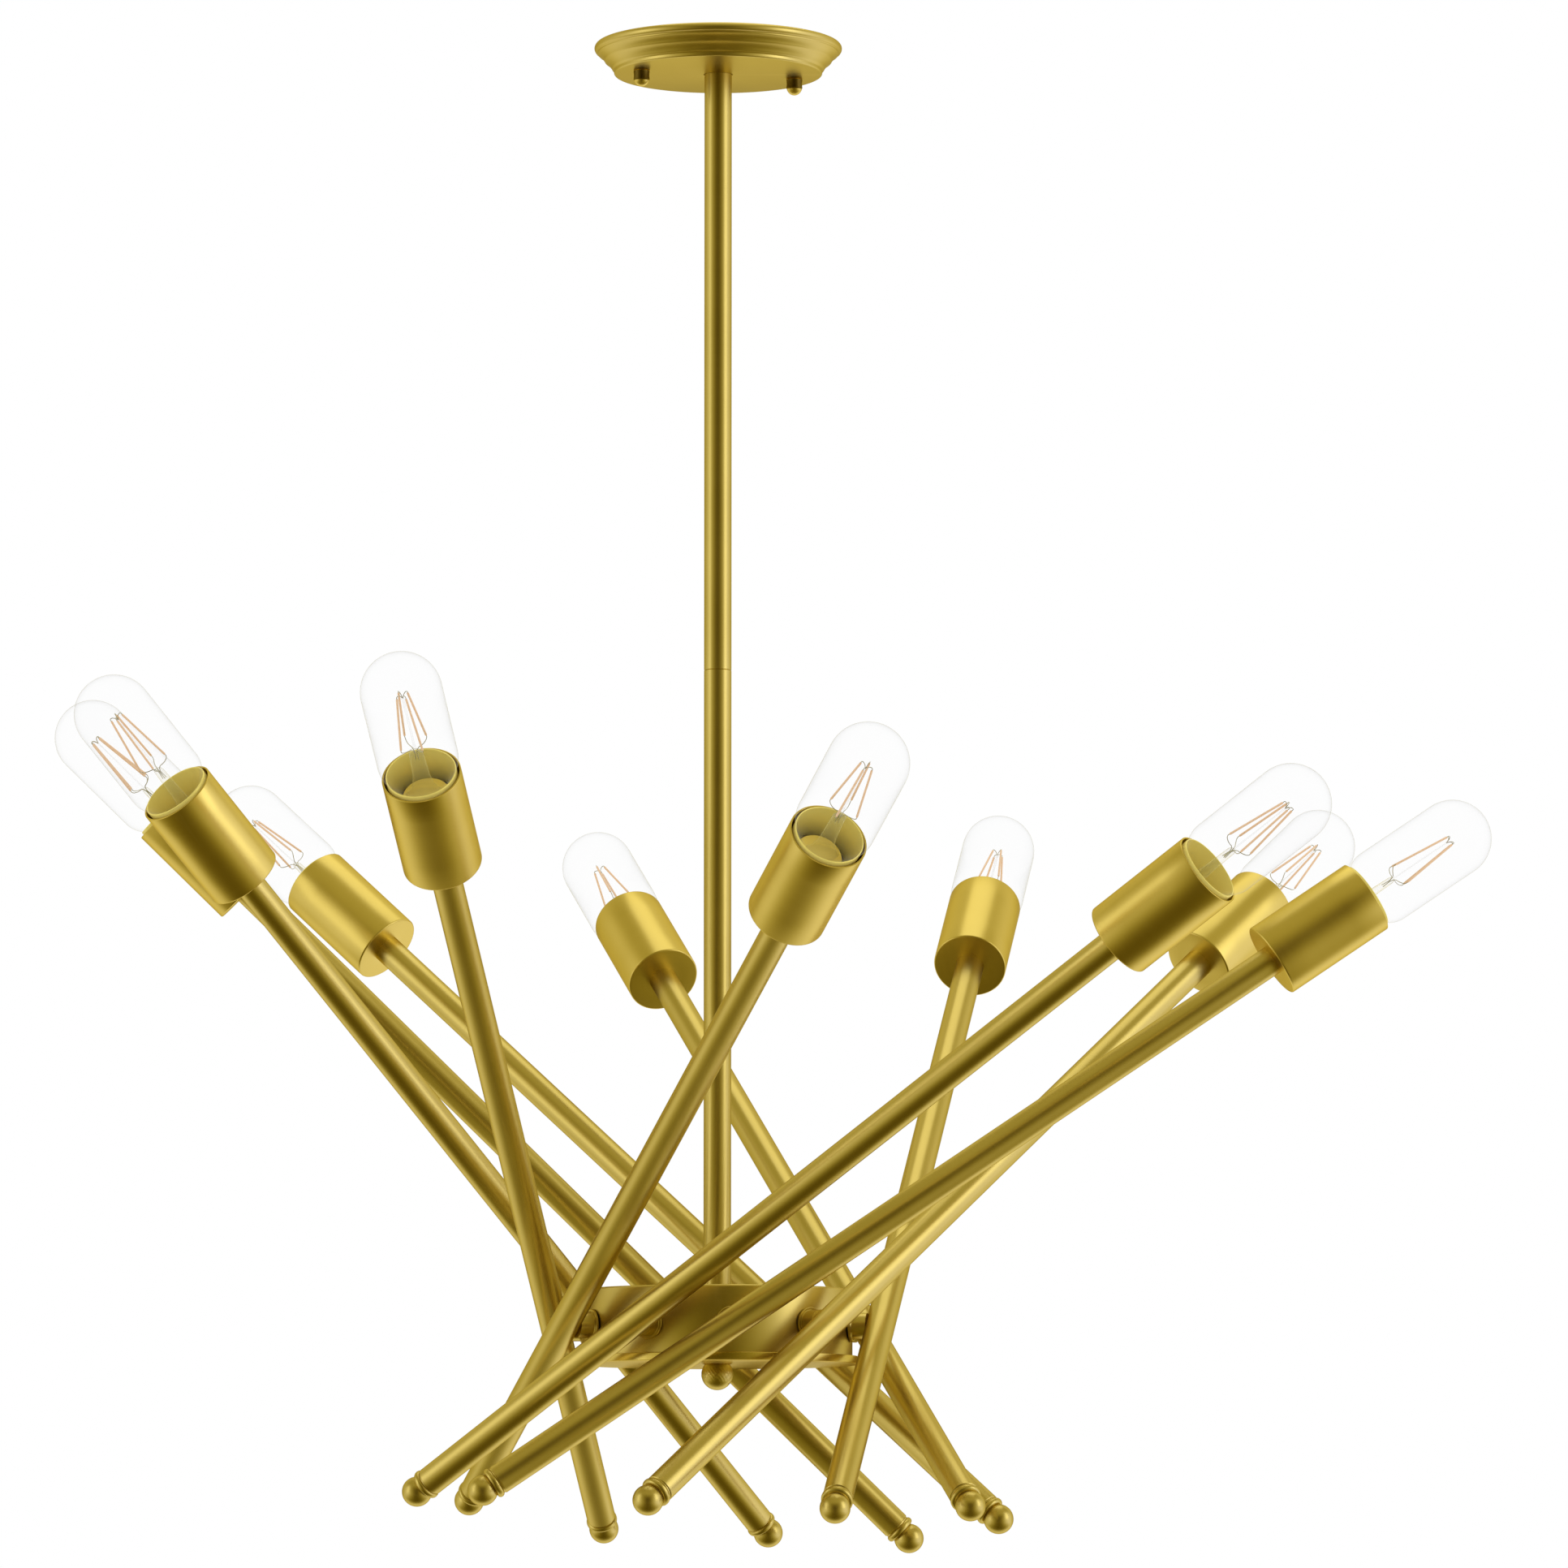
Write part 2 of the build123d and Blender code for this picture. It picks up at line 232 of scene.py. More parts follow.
def placeOf(tree, fromBench):
    if fromBench:
        return addNode(tree, "ShaderNodeAttribute", attribute_name="benchPlace").outputs["Vector"]
    return addNode(tree, "ShaderNodeTexCoord").outputs["Object"]


def turnedGrain(tree, place, across, along):
    # fine lines that run round the axis: tight along the axis and the radius, long round it
    split = addNode(tree, "ShaderNodeSeparateXYZ", {0: place})
    reach = sums(tree, "SQRT", sums(tree, "ADD", sums(tree, "POWER", split.outputs["X"], 2.0),
                                   sums(tree, "POWER", split.outputs["Y"], 2.0)))
    station = sums(tree, "MULTIPLY", sums(tree, "ADD", split.outputs["Z"], reach), across)
    wide = [sums(tree, "MULTIPLY", split.outputs[axis], along) for axis in ("X", "Y")]
    lines = addNode(tree, "ShaderNodeCombineXYZ", {"X": wide[0], "Y": wide[1], "Z": station})
    return addNode(tree, "ShaderNodeTexNoise", {"Vector": lines.outputs[0], "Scale": 1.0, "Detail": 3.0,
                                                "Roughness": 0.6}).outputs["Fac"]


def brassMaterial(name, look, fromBench=True):
    material, tree, shader = newMaterial(name)
    place = placeOf(tree, fromBench)
    grain = turnedGrain(tree, place, look["linesPerM"], look["streak"])
    cloud = addNode(tree, "ShaderNodeTexNoise", {"Vector": place, "Scale": look["cloudScale"], "Detail": 4.0,
                                                 "Roughness": 0.55}).outputs["Fac"]
    tone = addNode(tree, "ShaderNodeMix", {"Factor": stretched(tree, cloud, 0.3, 0.7, 0.0, 1.0),
                                           "A": look["deep"], "B": look["light"]}, data_type="RGBA")
    lined = addNode(tree, "ShaderNodeMix", {"Factor": stretched(tree, grain, 0.35, 0.65, 0.0, look["lineTone"]),
                                            "A": tone.outputs["Result"], "B": look["line"]}, data_type="RGBA")
    # painted highlight: sharp edges are lightened towards a paler tone by their pointiness, standing in for the
    # bright rims light gives them
    edge = addNode(tree, "ShaderNodeNewGeometry").outputs["Pointiness"]
    edgeLit = addNode(tree, "ShaderNodeMix", {"Factor": stretched(tree, edge, 0.53, 0.6, 0.0, look["edgeWear"]),
                                             "A": lined.outputs["Result"], "B": look["worn"]}, data_type="RGBA")
    tree.links.new(edgeLit.outputs["Result"], shader.inputs["Base Color"])
    satin = sums(tree, "ADD", stretched(tree, grain, 0.3, 0.7, look["smooth"], look["dull"]),
                 stretched(tree, cloud, 0.3, 0.7, -look["smudge"], look["smudge"]))
    tree.links.new(satin, shader.inputs["Roughness"])
    bump = addNode(tree, "ShaderNodeBump", {"Height": grain, "Strength": look["bump"], "Distance": 0.0001})
    tree.links.new(bump.outputs["Normal"], shader.inputs["Normal"])
    shader.inputs["Metallic"].default_value = look["metal"]
    shader.inputs["Specular Tint"].default_value = look["grazing"]
    return material


# the edge tone and its amount are a painted highlight on sharp edges
satinBrass = {"deep": (0.735, 0.590, 0.175, 1), "light": (0.805, 0.650, 0.200, 1),
              "line": (0.830, 0.680, 0.220, 1), "worn": (0.900, 0.760, 0.330, 1),
              "grazing": (0.75, 0.64, 0.30, 1), "linesPerM": 1500.0, "streak": 30.0,
              "cloudScale": 14.0, "lineTone": 0.12, "edgeWear": 0.25, "smooth": 0.30, "dull": 0.33,
              "smudge": 0.012, "bump": 0.004, "metal": 1.0}
# painted shade: darker copies of the cups' brass for the tubes and sheet, and darker again for the stem
armBrass = dict(satinBrass, deep=(0.650, 0.530, 0.175, 1), light=(0.715, 0.585, 0.200, 1),
                line=(0.740, 0.610, 0.220, 1), grazing=(0.66, 0.57, 0.28, 1))
stemBrass = dict(satinBrass, deep=(0.590, 0.480, 0.148, 1), light=(0.650, 0.530, 0.170, 1),
                 line=(0.680, 0.560, 0.190, 1), grazing=(0.60, 0.52, 0.25, 1))
polishedBrass = dict(satinBrass, smooth=0.22, dull=0.27, bump=0.003)
# painted light: the sleeve gets a brighter, half-diffuse copy of the brass, standing in for light inside the cup
sleeveBrass = dict(satinBrass, deep=(0.95, 0.80, 0.20, 1), light=(1.00, 0.86, 0.24, 1),
                   line=(1.0, 0.88, 0.28, 1), smooth=0.34, dull=0.42, metal=0.25)
# painted shade: a much darker copy of the brass for the knurled belts, for the shade in their grooves
knurledBrass = dict(satinBrass, deep=(0.13, 0.09, 0.018, 1), light=(0.20, 0.14, 0.030, 1),
                    line=(0.26, 0.19, 0.05, 1), worn=(0.5, 0.4, 0.12, 1), smooth=0.34, dull=0.44)
# the zinc's edge tone is a painted highlight on sharp edges too
zincLook = {"deep": (0.50, 0.51, 0.52, 1), "light": (0.66, 0.67, 0.68, 1), "line": (0.72, 0.72, 0.74, 1),
            "worn": (0.82, 0.82, 0.83, 1), "grazing": (0.9, 0.9, 0.9, 1), "linesPerM": 2600.0, "streak": 60.0,
            "cloudScale": 45.0, "lineTone": 0.4, "edgeWear": 0.5, "smooth": 0.28, "dull": 0.42,
            "smudge": 0.05, "bump": 0.08, "metal": 1.0}
# brass-coloured cap, made brighter and half diffuse as painted light for the inside of the cup
capLitLook = dict(satinBrass, deep=(0.93, 0.77, 0.20, 1), light=(0.98, 0.83, 0.24, 1), smooth=0.36, dull=0.46,
               metal=0.6)

brass = brassMaterial("satinBrass", satinBrass)
brassArmsShaded = brassMaterial("armBrass", armBrass)      # painted shade: tubes, canopy, drum and ball get a darker copy of the cups' brass
# painted shade: the stem's brass is darker again than the tubes'
brassStemShaded = brassMaterial("stemBrass", stemBrass)
brassBright = brassMaterial("polishedBrass", polishedBrass)
brassKnurlShade = brassMaterial("knurledBrass", knurledBrass)
# painted light: brighter sleeve brass for the inside of the cup
brassSleeveLit = brassMaterial("sleeveBrass", sleeveBrass)
zincSteel = brassMaterial("zincSteel", zincLook, fromBench=False)
# painted light: the cap's brass is brightened for the dim inside of the cup
capMetal = brassMaterial("capMetal", capLitLook)
wireMetal = brassMaterial("wireMetal", dict(zincLook, smooth=0.15, dull=0.25))


def glassMaterial(name, look):
    # thin clear glass: nothing is seen of it face on, and a pale grey line where it turns away
    material, tree, shader = newMaterial(name)
    place = placeOf(tree, True)
    ripple = addNode(tree, "ShaderNodeTexNoise", {"Vector": place, "Scale": look["rippleScale"],
                                                  "Detail": 2.0}).outputs["Fac"]
    dust = addNode(tree, "ShaderNodeTexNoise", {"Vector": place, "Scale": look["dustScale"],
                                                "Detail": 5.0}).outputs["Fac"]
    tint = addNode(tree, "ShaderNodeMix", {"Factor": ripple, "A": look["light"], "B": look["deep"]},
                   data_type="RGBA")
    height = addNode(tree, "ShaderNodeSeparateXYZ", {0: place}).outputs["Z"]
    clear = stretched(tree, height, look["hidden"], look["open"], 0.0, 1.0)
    gilt = addNode(tree, "ShaderNodeMix", {"Factor": clear, "A": look["gilt"], "B": tint.outputs["Result"]},
                   data_type="RGBA")     # painted reflection: below a set height the glass is tinted gold, standing in for the brass it mirrors in the cup
    tree.links.new(gilt.outputs["Result"], shader.inputs["Base Color"])
    tree.links.new(stretched(tree, dust, 0.45, 0.75, look["smooth"], look["dull"]), shader.inputs["Roughness"])
    bump = addNode(tree, "ShaderNodeBump", {"Height": ripple, "Strength": look["bump"], "Distance": 0.0003})
    tree.links.new(bump.outputs["Normal"], shader.inputs["Normal"])
    facing = addNode(tree, "ShaderNodeLayerWeight", {"Blend": 0.5, "Normal": bump.outputs["Normal"]})
    body = stretched(tree, sums(tree, "POWER", facing.outputs["Facing"], look["falloff"]), 0.0, 1.0,
                     look["faceOn"], look["edgeOn"])
    film = sums(tree, "MULTIPLY", stretched(tree, dust, 0.35, 0.75, 0.9, 1.25),
                stretched(tree, clear, 0.0, 1.0, look["within"], 1.0))
    tree.links.new(sums(tree, "MULTIPLY", body, film), shader.inputs["Alpha"])
    shader.inputs["Specular IOR Level"].default_value = look["gloss"]
    shader.inputs["Metallic"].default_value = look["mirror"]
    return material


# the bulb glass's painted brass reflection fades out round the cup's rim
bulbGlassLook = {"light": (0.54, 0.56, 0.57, 1), "deep": (0.42, 0.44, 0.45, 1), "gilt": (1.0, 0.90, 0.45, 1),
                 "gloss": 0.2, "mirror": 0.0, "rippleScale": 30.0, "dustScale": 120.0, "smooth": 0.03, "dull": 0.08,
                 "bump": 0.003, "falloff": 6.0, "faceOn": 0.01, "edgeOn": 0.48,
                 "hidden": 0.438, "open": 0.447, "within": 0.8}
# the mount's painted brass reflection reaches up to about 20 mm above the cup's rim
pressGlassLook = dict(bulbGlassLook, light=(0.97, 0.97, 0.95, 1), deep=(0.62, 0.60, 0.56, 1),
                      gilt=(1.0, 0.88, 0.34, 1), gloss=0.15, rippleScale=300.0, smooth=0.08, dull=0.15,
                      bump=0.6, falloff=2.6, faceOn=0.05, edgeOn=0.6, hidden=0.452, open=0.462, within=1.0)
clearGlass = glassMaterial("clearGlass", bulbGlassLook)
pressGlass = glassMaterial("pressGlass", pressGlassLook)


def filamentMaterial(name, look):
    material, tree, shader = newMaterial(name)
    place = placeOf(tree, True)
    dots = addNode(tree, "ShaderNodeTexNoise", {"Vector": place, "Scale": look["scale"],
                                                "Detail": 3.0}).outputs["Fac"]
    tone = addNode(tree, "ShaderNodeMix", {"Factor": stretched(tree, dots, 0.3, 0.7, 0.0, 1.0),
                                           "A": look["deep"], "B": look["light"]}, data_type="RGBA")
    tree.links.new(tone.outputs["Result"], shader.inputs["Base Color"])
    tree.links.new(stretched(tree, dots, 0.3, 0.7, 0.4, 0.6), shader.inputs["Roughness"])
    bump = addNode(tree, "ShaderNodeBump", {"Height": dots, "Strength": 0.3, "Distance": 0.0001})
    tree.links.new(bump.outputs["Normal"], shader.inputs["Normal"])
    return material


phosphor = filamentMaterial("phosphor", {"deep": (0.95, 0.60, 0.34, 1), "light": (0.98, 0.72, 0.46, 1),
                                         "scale": 900.0})
phenolic = filamentMaterial("phenolic", {"deep": (0.035, 0.028, 0.022, 1), "light": (0.060, 0.048, 0.036, 1),
                                         "scale": 300.0})
print("materials made:", len(bpy.data.materials))


# canopy: a spun shell with a rolled rim, ridges down its flare and a flat disc

canopySize = {"rimR": 72.7, "rollR": 2.6, "bandDrop": 4.6, "stepR": 71.6, "flareFoot": 15.9, "discR": 61.2,
              "depth": 18.0, "edge": 1.1, "sheet": 1.0, "stemHoleR": 8.6, "ridges": (5.8, 10.0, 14.8),
              "sags": (0.3, 0.4, 0.45, 0.1), "ridgeStep": 0.1, "sides": 160}


def flute(startR, startZ, endR, endZ, sag, steps):
    # shallow hollow between two points, deepest in its middle
    midR, midZ = (startR + endR) / 2, (startZ + endZ) / 2
    run = hypot(endR - startR, endZ - startZ)
    inR, inZ = (endZ - startZ) / run, -(endR - startR) / run
    spots = []
    for k in range(1, steps):
        t = k / steps
        dip = sag * 4 * t * (1 - t)
        spots.append((startR + (endR - startR) * t + inR * dip, startZ + (endZ - startZ) * t + inZ * dip))
    return spots


def makeCanopy(s):
    t, step = s["sheet"], s["ridgeStep"]
    slope = (s["stepR"] - s["discR"]) / (s["flareFoot"] - s["bandDrop"])
    rings = arc(s["rimR"] - s["rollR"], -s["rollR"], s["rollR"], 90, -42, 14)
    lastR, lastZ = s["stepR"], -s["bandDrop"]
    rings += [(lastR, lastZ)]
    for drop, sag in zip(s["ridges"], s["sags"]):
        nextR, nextZ = s["stepR"] - (drop - s["bandDrop"]) * slope, -drop
        rings += flute(lastR, lastZ, nextR + step, nextZ + step, sag, 7)
        rings += [(nextR + step, nextZ + step), (nextR - step, nextZ - step)]
        lastR, lastZ = nextR - step, nextZ - step
    rings += flute(lastR, lastZ, s["discR"], -s["flareFoot"], s["sags"][-1], 7)
    rings += [(s["discR"], -s["flareFoot"])]
    rings += arc(s["discR"] - s["edge"], s["edge"] - s["depth"], s["edge"], 0, -90, 5)
    rings += [(s["stemHoleR"] + 0.2, -s["depth"]), (s["stemHoleR"], 0.2 - s["depth"]),
              (s["stemHoleR"], t - s["depth"]), (s["discR"] - t - 0.6, t - s["depth"]),
              (s["discR"] - t, t + 0.6 - s["depth"]), (s["stepR"] - t, -s["bandDrop"] + t),
              (s["rimR"] - t - 0.8, -s["rollR"]), (s["rimR"] - s["rollR"], -t)]
    canopy = turned("canopyShell", rings, s["sides"], 28)
    rememberPlace(canopy)
    return canopy


canopyShell = makeCanopy(canopySize)
dress(canopyShell, brassArmsShaded)
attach(canopyShell, "fixture")
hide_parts("canopy")
print("canopy made")


# cap nuts: a knurled belt with a domed end, each on its screw

capNutSize = {"spread": 94.0, "angle": 17.4, "beltR": 5.1, "waistR": 4.85, "beltDrop": 5.8, "domeDrop": 3.8,
              "bow": 5.0, "bowStartDeg": -17.0, "grooveScale": 0.93, "beltInset": 0.2,
              "teeth": 30, "screwR": 2.0, "top": -18.0, "screwTop": -2.0}


def onBelt(s, height):
    return s["top"] - s["beltDrop"] + s["beltInset"] < height / mm < s["top"] - s["beltInset"]


def makeCapNut(s):
    foot = s["top"] - s["beltDrop"]
    rings = [(0, s["top"]), (s["beltR"] - 0.4, s["top"]), (s["beltR"], s["top"] - 0.4),
             (s["waistR"], s["top"] - 0.5 * s["beltDrop"]), (s["beltR"], foot + 0.4), (s["beltR"] - 0.4, foot)]
    rings += arc(0, foot + s["bow"] - s["domeDrop"], s["bow"], s["bowStartDeg"], -90, 9)[:-1]
    rings += [(0, foot - s["domeDrop"])]
    nut = turned("capNut", rings, 2 * s["teeth"], 30)
    pickOnly(nut)
    for vertex in nut.data.vertices:      # every other vertex of the belt is picked
        vertex.select = False
        if onBelt(s, vertex.co.z):
            place = Vector(vertex.co.xy).angle_signed(Vector((1, 0))) / (pi / s["teeth"])
            vertex.select = round(place) % 2 == 0
    bpy.ops.object.mode_set(mode="EDIT")
    bpy.ops.mesh.select_mode(type="VERT")
    bpy.ops.transform.resize(value=(s["grooveScale"], s["grooveScale"], 1), center_override=(0, 0, foot * mm))
    bpy.ops.object.mode_set(mode="OBJECT")
    finishMesh(nut, 25)
    screw = turned("canopyScrew", [(0, s["top"] + 0.2), (s["screwR"], s["top"] + 0.2),
                                   (s["screwR"], s["screwTop"] - 0.3), (s["screwR"] - 0.3, s["screwTop"]),
                                   (0, s["screwTop"])], 20)
    nut = joined("capNut", [nut, screw])
    rememberPlace(nut)
    return nut


def makeCapNuts(s):
    first = makeCapNut(s)
    second = first.copy()
    second.data = first.data.copy()
    bpy.context.scene.collection.objects.link(second)
    for nut, side in ((first, 1), (second, -1)):
        turn = radians(s["angle"])
        reach = side * s["spread"] / 2 * mm
        moved(nut, Matrix.Translation((reach * cos(turn), reach * sin(turn), 0)))
    return joined("capNuts", [first, second])


capNuts = makeCapNuts(capNutSize)
dress(capNuts, brass)
capNuts.data.materials.append(brassKnurlShade)     # painted shade: the belts get a much darker brass, standing in for the shade their grooves hold
for face in capNuts.data.polygons:
    face.material_index = 1 if onBelt(capNutSize, face.center.z) else 0
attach(capNuts, "fixture")
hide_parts("canopy_fasteners")
print("cap nuts made")


# stem: two tubes that meet in a fine seam

stemSize = {"r": 8.0, "boreR": 5.05, "top": -9.0, "section": 361.0, "chamfer": 0.3, "sides": 72}


def makeStem(s, name, top):
    low = top - s["section"]
    c = s["chamfer"]
    rings = [(s["boreR"], top), (s["r"] - c, top), (s["r"], top - c)]
    rings += [(s["r"], top - c - (s["section"] - 2 * c) * k / 12) for k in range(1, 12)]
    rings += [(s["r"], low + c), (s["r"] - c, low), (s["boreR"], low)]
    stem = turned(name, rings, s["sides"])
    rememberPlace(stem)
    return stem


for name, node, step in (("stemTop", "stem_upper", 0), ("stemFoot", "stem_lower", 1)):
    stem = makeStem(stemSize, name, stemSize["top"] - step * stemSize["section"])
    dress(stem, brassStemShaded)
    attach(stem, "fixture")
    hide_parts(node)
print("stem made")


# hub: drum, cover with its lip, and the ball under it

hubSize = {"drumR": 78.3, "top": -731.0, "height": 43.2, "sheet": 1.5, "edge": 1.2, "boreR": 5.05,
           "lipR": 82.1, "lipBoreR": 78.6, "lipHeight": 4.6, "sides": 180,
           "ballR": 9.2, "ballDrop": 5.6, "collarR": 7.2, "collarDrop": 1.2, "ridges": 26, "ridgeDepth": 0.28,
           "ridgeLean": 0.9, "ridgeBand": 0.5}


def makeDrum(s):
    low = s["top"] - s["height"] + s["sheet"]
    inner = s["drumR"] - s["sheet"]
    rings = [(s["boreR"], s["top"]), (s["drumR"] * 0.5, s["top"])]
    rings += arc(s["drumR"] - s["edge"], s["top"] - s["edge"], s["edge"], 90, 0, 6)
    rings += [(s["drumR"], low + 0.2), (s["drumR"] - 0.2, low), (inner, low),
              (inner, s["top"] - s["sheet"]), (s["boreR"], s["top"] - s["sheet"])]
    return turned("hubDrum", rings, s["sides"], 30)


def makeCover(s):
    low = s["top"] - s["height"]
    lipTop = low + s["lipHeight"]
    floorTop = low + s["sheet"]
    rings = [(s["boreR"], low), (s["lipR"] * 0.5, low), (s["lipR"] - 0.5, low)]
    rings += arc(s["lipR"] - 0.5, low + 0.5, 0.5, -90, 0, 4)[1:]
    rings += arc(s["lipR"] - 0.4, lipTop - 0.4, 0.4, 0, 90, 4)
    rings += [(s["lipBoreR"], lipTop), (s["lipBoreR"], floorTop), (s["boreR"], floorTop)]
    return turned("hubCover", rings, s["sides"], 30)


def makeFinial(s):
    low = s["top"] - s["height"]
    centre = low - s["ballDrop"]
    collarEnd = low - s["collarDrop"]
    rings = [(0, low), (s["collarR"], low), (s["collarR"], collarEnd + 0.3), (s["collarR"] - 0.3, collarEnd)]
    rings += arc(0, centre, s["ballR"], 50, -90, 34)[:-1] + [(0, centre - s["ballR"])]
    ball = turned("hubFinial", rings, 4 * s["ridges"], 60)
    for vertex in ball.data.vertices:     # slanting ridges round the ball's middle
        co = vertex.co
        level = (co.z / mm - centre) / s["ballR"]
        if abs(level) < s["ridgeBand"]:
            lean = Vector(co.xy).angle_signed(Vector((1, 0)), 0) + s["ridgeLean"] * level
            fade = 1 - (level / s["ridgeBand"]) ** 4
            dip = 1 - s["ridgeDepth"] / s["ballR"] * (0.5 + 0.5 * cos(s["ridges"] * lean)) * fade
            co.x, co.y = co.x * dip, co.y * dip
    finishMesh(ball, 60)
    return ball


for piece, node, look in ((makeDrum(hubSize), "hub_shell", brassArmsShaded),
                          (makeCover(hubSize), "hub_cover", brassBright),
                          (makeFinial(hubSize), "hub_finial", brassArmsShaded)):
    rememberPlace(piece)
    dress(piece, look)
    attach(piece, "fixture")
    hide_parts(node)
for node in ("ceiling_bar", "swivel_bar", "threaded_pipes"):      # good as solids, so only their look is set
    relook(frame["nodes"][node], zincSteel)
print("hub made")


# the arms' places: pivot and directions come from the frame's own joints

def armPlaces():
    hinges = {j["child"]: j for j in frame["joints"] if j["type"] == "hinge"}
    slides = {j["parent"]: j for j in frame["joints"] if j["type"] == "slide"}
    places = {}
    for body, hinge in sorted(hinges.items()):
        out = -Vector(hinge["axis"]).normalized()
        along = Vector(slides[body]["axis"]).normalized()
        side = along.cross(out)
        turn = Matrix((out, side, along)).transposed().to_4x4()
        places[body[-2:]] = Matrix.Translation(Vector(hinge["pos_m"])) @ turn
    return places


arms = armPlaces()


def setOut(master, material, bodyName, nodeName):
    # one copy of a finished piece for each arm, each with a mesh of its own
    rememberPlace(master)
    dress(master, material)
    stem = master.name
    for number, place in arms.items():
        copy = master.copy()
        copy.data = master.data.copy()
        copy.name = copy.data.name = f"{stem}_{number}"
        bpy.context.scene.collection.objects.link(copy)
        moved(copy, place)
        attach(copy, bodyName + number)
        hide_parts(nodeName + number)
    bpy.data.objects.remove(master)


# arm: a straight tube with a ball end, and the stud that it swivels on

armSize = {"r": 8.5, "wall": 1.0, "foot": -162.4, "head": 372.8, "chamfer": 0.35, "sides": 56,
           "ballR": 8.7, "ballAt": -172.8, "beadR": 9.1, "beadTop": -163.2, "beadLength": 4.0, "seatR": 8.0,
           "bossR": 7.6, "bossFrom": 7.6, "hubFace": 17.5, "flangeR": 9.2, "flange": 1.6,
           "shankR": 4.95, "studEnd": 27.2, "studBoreR": 3.0, "studSides": 48,
           "nutFlats": 14.0, "nutFrom": 20.2, "nutTo": 25.2}


def makeArmTube(s):
    c = s["chamfer"]
    bore = s["r"] - s["wall"]
    span = s["head"] - s["foot"]
    rings = [(bore, s["foot"]), (s["r"] - c, s["foot"]), (s["r"], s["foot"] + c)]
    rings += [(s["r"], s["foot"] + span * k / 16) for k in range(1, 16)]
    rings += [(s["r"], s["head"]), (bore, s["head"])]
    return turned("armTube", rings, s["sides"])


def makeBallEnd(s):
    beadFoot = s["beadTop"] - s["beadLength"]
    edge = 0.45 * s["beadLength"]
    rings = [(0, s["foot"]), (s["seatR"], s["foot"]), (s["seatR"], s["beadTop"])]
    rings += arc(s["beadR"] - edge, s["beadTop"] - edge, edge, 70, 0, 6)
    rings += arc(s["beadR"] - edge, beadFoot + edge, edge, 0, -90, 7)
    neckDeg = degrees(asin((beadFoot - s["ballAt"]) / s["ballR"]))
    rings += arc(0, s["ballAt"], s["ballR"], neckDeg, -90, 26)[:-1] + [(0, s["ballAt"] - s["ballR"])]
    return turned("ballEnd", rings, s["sides"], 38)


def makeStud(s):
    face = s["hubFace"]
    rings = [(0, s["bossFrom"]), (s["bossR"], s["bossFrom"]), (s["bossR"], face - s["flange"] - 0.3),
             (s["bossR"] + 0.3, face - s["flange"]), (s["flangeR"] - 0.3, face - s["flange"]),
             (s["flangeR"], face - s["flange"] + 0.3), (s["flangeR"], face - 0.2), (s["flangeR"] - 0.2, face),
             (s["shankR"], face), (s["shankR"], s["studEnd"] - 0.5), (s["shankR"] - 0.5, s["studEnd"]),
             (s["studBoreR"], s["studEnd"]), (s["studBoreR"], face), (0, face)]
    stud = turned("swivelStud", rings, s["studSides"])
    corner = s["nutFlats"] / 2 / cos(pi / 6)
    nut = turned("lockNut", [(0, s["nutFrom"]), (corner, s["nutFrom"]), (corner, s["nutTo"]), (0, s["nutTo"])], 6, 20)
    roundEdges(nut, 0.5)
    return moved(joined("swivelStud", [stud, nut]), Matrix.Rotation(-pi / 2, 4, "Y"))


for master in (makeArmTube(armSize), makeBallEnd(armSize), makeStud(armSize)):
    setOut(master, brassArmsShaded, "arm_body_", "arm_")
print("arms made")


# socket cup, with the sleeve that stands a little proud inside it

cupSize = {"r": 22.1, "wall": 1.0, "low": 372.8, "rim": 439.6, "floor": 1.5, "edge": 1.0, "holeR": 8.6,
           "sleeveR": 19.7, "sleeveWall": 0.8, "sleeveFloor": 1.0, "rise": 1.8, "boreR": 5.05, "sides": 96}


def makeCup(s):
    inner = s["r"] - s["wall"]
    rings = [(s["boreR"], s["low"]), (s["r"] * 0.6, s["low"])]
    rings += arc(s["r"] - s["edge"], s["low"] + s["edge"], s["edge"], -90, 0, 6)
    rings += [(s["r"], s["low"] + (s["rim"] - s["low"]) * k / 4) for k in range(1, 4)]
    rings += arc(s["r"] - 0.3, s["rim"] - 0.3, 0.3, 0, 90, 3) + arc(inner + 0.2, s["rim"] - 0.2, 0.2, 90, 180, 3)
    rings += [(inner, s["low"] + s["floor"]), (s["boreR"], s["low"] + s["floor"])]
    return turned("socketCup", rings, s["sides"], 30)


def makeSleeve(s):
    low = s["low"] + s["floor"]
    top = s["rim"] + s["rise"]
    inner = s["sleeveR"] - s["sleeveWall"]
    lip = s["sleeveWall"] / 2
    rings = [(s["boreR"], low), (s["sleeveR"] - 0.3, low), (s["sleeveR"], low + 0.3), (s["sleeveR"], top - lip)]
    rings += arc(inner + lip, top - lip, lip, 0, 180, 8)[1:]
    rings += [(inner, top - 20), (inner, low + s["sleeveFloor"]), (s["boreR"], low + s["sleeveFloor"])]
    return turned("cupSleeve", rings, s["sides"], 30)


setOut(makeCup(cupSize), brass, "arm_body_", "socket_cup_")
setOut(makeSleeve(cupSize), brassSleeveLit, "arm_body_", "socket_cup_")
for number in arms:
    relook(frame["nodes"]["lampholder_" + number], phenolic)
print("cups made")


# bulb: clear tubular glass on a screw cap, with a pinched glass mount and four filaments

